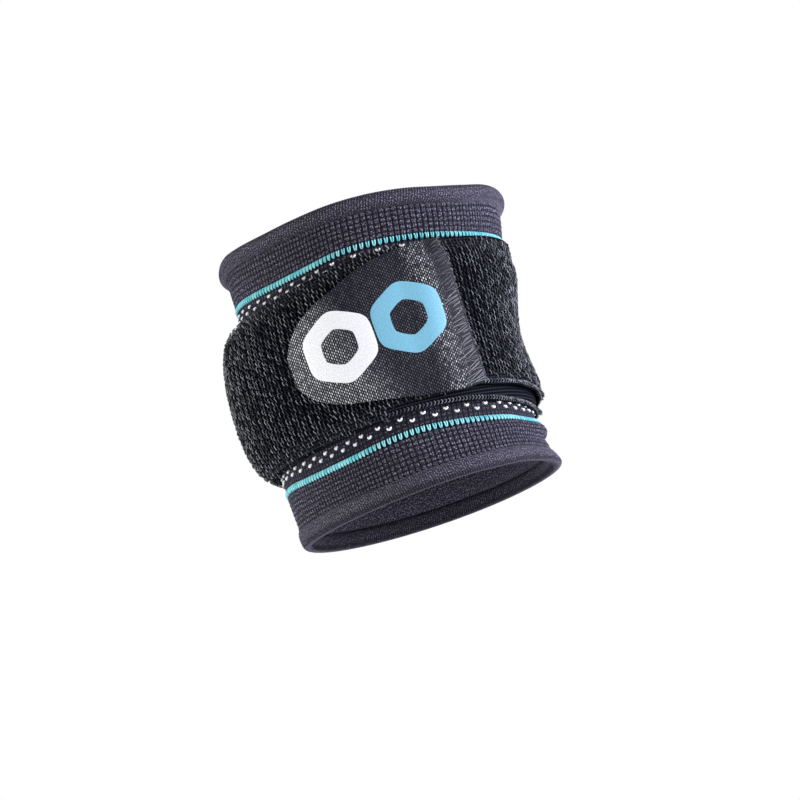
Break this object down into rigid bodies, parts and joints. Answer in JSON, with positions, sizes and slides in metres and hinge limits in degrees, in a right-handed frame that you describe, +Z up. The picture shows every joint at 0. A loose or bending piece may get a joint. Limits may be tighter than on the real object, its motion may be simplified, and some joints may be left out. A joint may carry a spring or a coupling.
{
  "type": "elbow support",
  "caption": "Knitted elbow compression band with rolled hems and coloured courses, and a loop-faced strap closed by a rounded hook tab.",
  "frame": {"origin": "on the arm's axis inside the band, at mid-height of the strap's width", "axes": "+Z up the arm towards the shoulder, -Y out of the tab's face, +X to the right of the tab"},
  "size_m": [0.1002, 0.0883, 0.0941],
  "materials": {
    "knit": "matte knit, charcoal with a purple tinge",
    "hem": "matte smooth knit",
    "course": "turquoise yarn",
    "loop": "black loop pile",
    "tab": null
  },
  "bodies": {
    "root": {"sleeve": "knit", "upper_hem": "hem", "lower_hem": "hem", "upper_course": "course", "lower_course": "course", "strap": "loop", "tab": "tab"}
  },
  "joints": []
}
